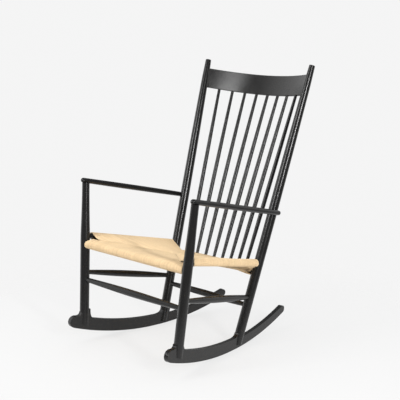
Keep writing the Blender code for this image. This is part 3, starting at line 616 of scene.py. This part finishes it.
fibre_tint = put(
    tree, "ShaderNodeMix", {0: fibre, 6: fibre_tints[0], 7: fibre_tints[1]}, data_type="RGBA"
).outputs[2]
paper = put(
    tree, "ShaderNodeMix",
    {0: 1.0, 6: strand_tint, 7: fibre_tint}, data_type="RGBA", blend_type="MULTIPLY",
).outputs[2]
# Painted shade: the cord's colour is darkened in the grooves between its plies.
groove_shade = put(
    tree, "ShaderNodeMix", {0: groove, 6: painted_groove_shade_tint, 7: (1, 1, 1, 1)}, data_type="RGBA"
).outputs[2]
shaded = put(
    tree, "ShaderNodeMix",
    {0: 1.0, 6: paper, 7: groove_shade}, data_type="RGBA", blend_type="MULTIPLY",
).outputs[2]
tree.links.new(shaded, shader.inputs["Base Color"])
dull = put(
    tree, "ShaderNodeMapRange",
    {
        "Value": fibre,
        "From Min": 0.3,
        "From Max": 0.7,
        "To Min": smoothest_paper,
        "To Max": roughest_paper,
    },
)
tree.links.new(dull.outputs[0], shader.inputs["Roughness"])
twist_height = reckon(tree, "MULTIPLY_ADD", fibre, fibre_depth, ply_rise)
bump = put(
    tree, "ShaderNodeBump",
    {"Strength": twist_strength, "Distance": ply_depth, "Height": twist_height},
)
tree.links.new(bump.outputs[0], shader.inputs["Normal"])

for seed, (field, paths) in enumerate(seat_paths.items()):
    sizes = {"Cord Thickness": cord_thickness, "Seed": seed, "Finish": paper_cord}
    wound = grown(f"paper_cord_{field}", cord_tree, paths, sizes)
    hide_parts("woven_seat")

card_tints = (0.36, 0.24, 0.12, 1), (0.52, 0.36, 0.20, 1)
card = bpy.data.materials.new("filling_card")
card.use_nodes = True
tree = card.node_tree
shader = tree.nodes["Principled BSDF"]
where = put(tree, "ShaderNodeTexCoord").outputs["Object"]
mottle = put(
    tree, "ShaderNodeTexNoise", {"Vector": where, "Scale": 160.0, "Detail": 5.0}
).outputs["Fac"]
card_tint = put(
    tree, "ShaderNodeMix", {0: mottle, 6: card_tints[0], 7: card_tints[1]}, data_type="RGBA"
)
tree.links.new(card_tint.outputs[2], shader.inputs["Base Color"])
shader.inputs["Roughness"].default_value = 0.85

card_inset = 0.022
columns, rows = 24, 20
card_points = []
for layer in (1, -1):
    for row in range(rows + 1):
        for column in range(columns + 1):
            sideways = 2 * column / columns - 1
            rear = rear_y(sideways * (rear_corner.x - card_inset)) - card_inset
            y = front_y + card_inset + (rear - front_y - card_inset) * row / rows
            x = sideways * (side_at(y).x - card_inset)
            middle, half = layers_at(x, y)
            half_card = (half - 2 * cord_thickness) / 2
            card_points.append((x, y, middle - seat_dish + layer * half_card))
across = columns + 1
under = across * (rows + 1)
card_faces = []
for row in range(rows):
    for column in range(columns):
        corner = row * across + column
        quad = [corner, corner + 1, corner + across + 1, corner + across]
        card_faces.append(quad)
        card_faces.append([under + i for i in reversed(quad)])
rim = list(range(across))
rim += [row * across + columns for row in range(1, rows + 1)]
rim += [rows * across + column for column in range(columns - 1, -1, -1)]
rim += [row * across for row in range(rows - 1, 0, -1)]
for start, end in zip(rim, rim[1:] + rim[:1]):
    card_faces.append([end, start, under + start, under + end])
card_mesh = bpy.data.meshes.new("seat_filling")
card_mesh.from_pydata(card_points, [], card_faces)
card_mesh.shade_smooth()
card_mesh.materials.append(card)
filling = bpy.data.objects.new("seat_filling", card_mesh)
bpy.context.scene.collection.objects.link(filling)
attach(filling, "root")
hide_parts("woven_seat")


# Crest rail: a beech board steamed to a bow, with its edges rounded over. Its ends are coped to fit
# the round posts, and tenoned and glued into them a little under their tips.

smooth_copy("crest_rail", crosswise_lacquer)


# Spindles: eight slim sticks turned from beech, thickest a little under the middle. Each stands in
# the rear seat rail and is let into the underside of the crest rail, and they fan out upwards.

crest_height, crest_bow, crest_depth = 0.992, 0.070, 0.079
spindle_tenon, spindle_top_pitch = 0.014, 0.0584
spindle_end, spindle_middle, low_middle = 0.0057, 0.0082, 0.8
crest_end = post_at(crest_height)
up_back = Vector((0, post_head.y - post_foot.y, post_head.z)).normalized()
behind_back = up_back.cross(Vector((1, 0, 0)))
spindle_axes = []
for foot_x in spindle_feet:
    foot = Vector((foot_x, rear_y(foot_x), rear_height))
    top_x = foot_x * spindle_top_pitch / spindle_foot_pitch
    bow = crest_bow * (1 - (top_x / crest_end.x) ** 2)
    head = Vector((top_x, crest_end.y, crest_end.z)) + behind_back * bow
    spindle_axes.append([foot, head + up_back * (spindle_tenon - crest_depth / 2)])
spindle_sizes = {
    "End Radius": spindle_end,
    "Middle Radius": spindle_middle,
    "Lean": low_middle,
    "Seed": 11,
    "Finish": stick_lacquer,
}
spindles = grown("turned_spindles", stick_tree, spindle_axes, spindle_sizes)
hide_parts(*[f"spindle_{i + 1}" for i in range(spindle_count)])


# Arms: beech rods with domed ends, glued on the necks of the front legs and pinned beside the posts
# by dowels that are hidden in both.

for side in ("left", "right"):
    smooth_copy(f"arm_{side}", lengthwise_lacquer)
    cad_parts[f"arm_dowel_{side}"].material_slots[0].material = crosswise_lacquer


# Studio: a pale floor that fades into a white backdrop, large soft lights, and the camera where the
# photograph was taken from.

floor_tints = (0.895, 0.895, 0.893, 1), (0.905, 0.905, 0.905, 1)
floor_glow, glow_part = (0.89, 0.89, 0.89, 1), 0.80
floor_size, fade_start, fade_end = 1.5, 0.75, 1.40
paint = bpy.data.materials.new("pale_floor")
paint.use_nodes = True
tree = paint.node_tree
shader = tree.nodes["Principled BSDF"]
shader.inputs["Roughness"].default_value = 0.9
shader.inputs["Specular IOR Level"].default_value = 0.1
where = put(tree, "ShaderNodeTexCoord").outputs["Object"]
mottle = put(tree, "ShaderNodeTexNoise", {"Vector": where, "Scale": 3.0, "Detail": 2.0}).outputs["Fac"]
floor_tint = put(
    tree, "ShaderNodeMix", {0: mottle, 6: floor_tints[0], 7: floor_tints[1]}, data_type="RGBA"
)
tree.links.new(floor_tint.outputs[2], shader.inputs["Base Color"])
from_middle = put(tree, "ShaderNodeVectorMath", {0: where}, operation="LENGTH").outputs["Value"]
fade = put(
    tree, "ShaderNodeMapRange",
    {"Value": from_middle, "From Min": fade_start, "From Max": fade_end, "To Min": 0.0, "To Max": 1.0},
    interpolation_type="SMOOTHSTEP",
).outputs[0]
path = put(tree, "ShaderNodeLightPath").outputs
mirrored = reckon(tree, "MAXIMUM", path["Is Glossy Ray"], path["Is Transmission Ray"])
seen = reckon(tree, "MAXIMUM", path["Is Camera Ray"], mirrored)
glow = put(tree, "ShaderNodeEmission", {"Color": floor_glow, "Strength": 1.0})
glow_share = reckon(tree, "MULTIPLY", seen, glow_part)
lit = put(tree, "ShaderNodeMixShader", {0: glow_share, 1: shader.outputs[0], 2: glow.outputs[0]})
clear = put(tree, "ShaderNodeBsdfTransparent")
mixed = put(tree, "ShaderNodeMixShader", {0: fade, 1: lit.outputs[0], 2: clear.outputs[0]})
tree.links.new(mixed.outputs[0], tree.nodes["Material Output"].inputs["Surface"])
floor_mesh = bpy.data.meshes.new("floor")
floor_corners = [(-floor_size, -floor_size, 0), (floor_size, -floor_size, 0)]
floor_corners += [(floor_size, floor_size, 0), (-floor_size, floor_size, 0)]
floor_mesh.from_pydata(floor_corners, [], [(0, 1, 2, 3)])
floor_mesh.materials.append(paint)
floor = bpy.data.objects.new("floor", floor_mesh)
bpy.context.scene.collection.objects.link(floor)

backdrop_white = (0.91, 0.91, 0.91, 1)
light_below, light_above = 0.45, 0.95
left_wall_at, left_wall_edge, left_wall_light, dim_wall_light = (-0.97, -0.20, 0.12), 0.65, 1.5, 0.22
back_wall_edge, back_wall_full, back_wall_light = 0.75, 0.95, 0.7
world = bpy.data.worlds.new("white_studio")
bpy.context.scene.world = world
world.use_nodes = True
tree = world.node_tree
shown = tree.nodes["Background"]
shown.inputs["Color"].default_value = backdrop_white
shown.inputs["Strength"].default_value = 1.0
direction = put(tree, "ShaderNodeTexCoord").outputs["Generated"]
height = put(tree, "ShaderNodeSeparateXYZ", {0: direction}).outputs[2]
wall_light = put(
    tree, "ShaderNodeMapRange", {"Value": height, "To Min": light_below, "To Max": light_above}
).outputs[0]
ambient = put(tree, "ShaderNodeBackground", {"Color": (1.0, 1.0, 1.0, 1), "Strength": wall_light})
path = put(tree, "ShaderNodeLightPath").outputs
seen = reckon(tree, "ADD", path["Is Camera Ray"], path["Is Transmission Ray"])
choice = put(
    tree, "ShaderNodeMixShader", {0: seen, 1: ambient.outputs[0], 2: shown.outputs[0]}
)
leftwards = put(
    tree, "ShaderNodeVectorMath", {0: direction, 1: left_wall_at}, operation="DOT_PRODUCT"
).outputs["Value"]
side_wall = put(
    tree, "ShaderNodeMapRange",
    {
        "Value": leftwards,
        "From Min": left_wall_edge,
        "From Max": 1.0,
        "To Min": dim_wall_light,
        "To Max": left_wall_light,
    },
    interpolation_type="SMOOTHSTEP",
).outputs[0]
backwards = put(tree, "ShaderNodeSeparateXYZ", {0: direction}).outputs["Y"]
back_wall = put(
    tree, "ShaderNodeMapRange",
    {
        "Value": backwards,
        "From Min": back_wall_edge,
        "From Max": back_wall_full,
        "To Min": 0.0,
        "To Max": back_wall_light,
    },
    interpolation_type="SMOOTHSTEP",
).outputs[0]
walls = reckon(tree, "ADD", side_wall, back_wall)
mirrored = put(tree, "ShaderNodeBackground", {"Color": (1.0, 1.0, 1.0, 1), "Strength": walls})
studio = put(
    tree, "ShaderNodeMixShader",
    {0: path["Is Glossy Ray"], 1: choice.outputs[0], 2: mirrored.outputs[0]},
)
tree.links.new(studio.outputs[0], tree.nodes["World Output"].inputs["Surface"])

# Each softbox has its place, what it is aimed at, its width, its height and its watts.
softboxes = {
    "softbox_above": ((0.0, 0.3, 3.4), (0.0, 0.0, 0.4), 2.6, 2.6, 6),
    "softbox_high": ((-0.90, -2.00, 3.00), (0.0, 0.3, 0.7), 1.0, 0.8, 14),
    "softbox_front": ((-0.70, -2.75, 1.95), (0.0, 0.2, 0.8), 0.9, 1.2, 37),
    "softbox_right": ((3.05, -1.05, 1.50), (0.0, 0.2, 0.8), 0.35, 1.1, 65),
}
for name, (place, target, width, height, power) in softboxes.items():
    lamp = bpy.data.lights.new(name, "AREA")
    lamp.shape = "RECTANGLE"
    lamp.size = width
    lamp.size_y = height
    lamp.energy = power
    light = bpy.data.objects.new(name, lamp)
    light.location = place
    light.rotation_euler = (Vector(target) - Vector(place)).to_track_quat("-Z", "Y").to_euler()
    bpy.context.scene.collection.objects.link(light)

azimuth, pitch, roll = math.radians(44.9956), math.radians(11.958), math.radians(0.1134)
camera_place = 2.5897, -2.6449, 1.2893
lens = bpy.data.cameras.new("photograph_view")
lens.sensor_width = 36
lens.lens = 87.69
lens.shift_x = 0.03698
lens.shift_y = 0.02875
ahead = Vector((-math.sin(azimuth), math.cos(azimuth), 0))
level = Vector((math.cos(azimuth), math.sin(azimuth), 0))
forward = ahead * math.cos(pitch) - Vector((0, 0, math.sin(pitch)))
upright = level.cross(forward)
right = level * math.cos(roll) + upright * math.sin(roll)
up = upright * math.cos(roll) - level * math.sin(roll)
camera = bpy.data.objects.new("photograph_view", lens)
camera_turn = Matrix((right, up, -forward)).transposed().to_4x4()
camera.matrix_world = Matrix.Translation(camera_place) @ camera_turn
bpy.context.scene.collection.objects.link(camera)
bpy.context.scene.camera = camera
bpy.context.scene.view_settings.view_transform = "Standard"
